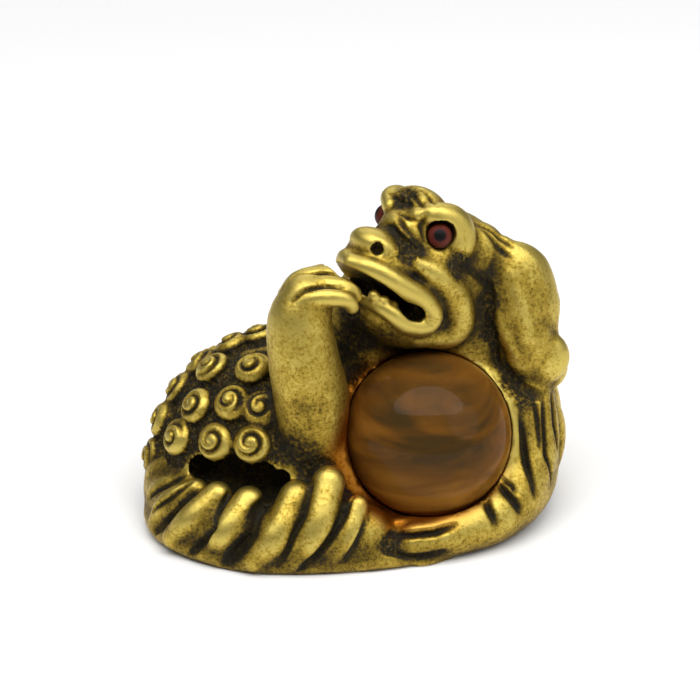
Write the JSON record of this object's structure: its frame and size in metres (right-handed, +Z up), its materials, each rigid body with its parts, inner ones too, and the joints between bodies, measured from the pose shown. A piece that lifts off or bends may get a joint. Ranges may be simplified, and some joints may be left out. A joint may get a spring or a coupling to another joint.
{
  "type": "pixiu figurine",
  "caption": "Cast brass pixiu lying curled on a flat oval underside, holding a polished amber ball under its chin, with inset bead eyes.",
  "frame": {"origin": "middle of the flat underside that the figure stands on", "axes": "+Z up, -Y the front that shows the ball, +X along the figure's length from the curled rump to the shoulder"},
  "size_m": [0.0517, 0.0376, 0.0413],
  "materials": {
    "aged_brass": "cast brass, rubbed bright on the high places, with dark brown-black patina in the recesses",
    "amber_glass": "polished smoky amber, with faint lighter streaks inside",
    "eye_bead": "polished red-brown bead with a dark pupil"
  },
  "bodies": {
    "root": {"figure": "aged_brass", "ball": "amber_glass", "eye_left": "eye_bead", "eye_right": "eye_bead"}
  },
  "joints": []
}
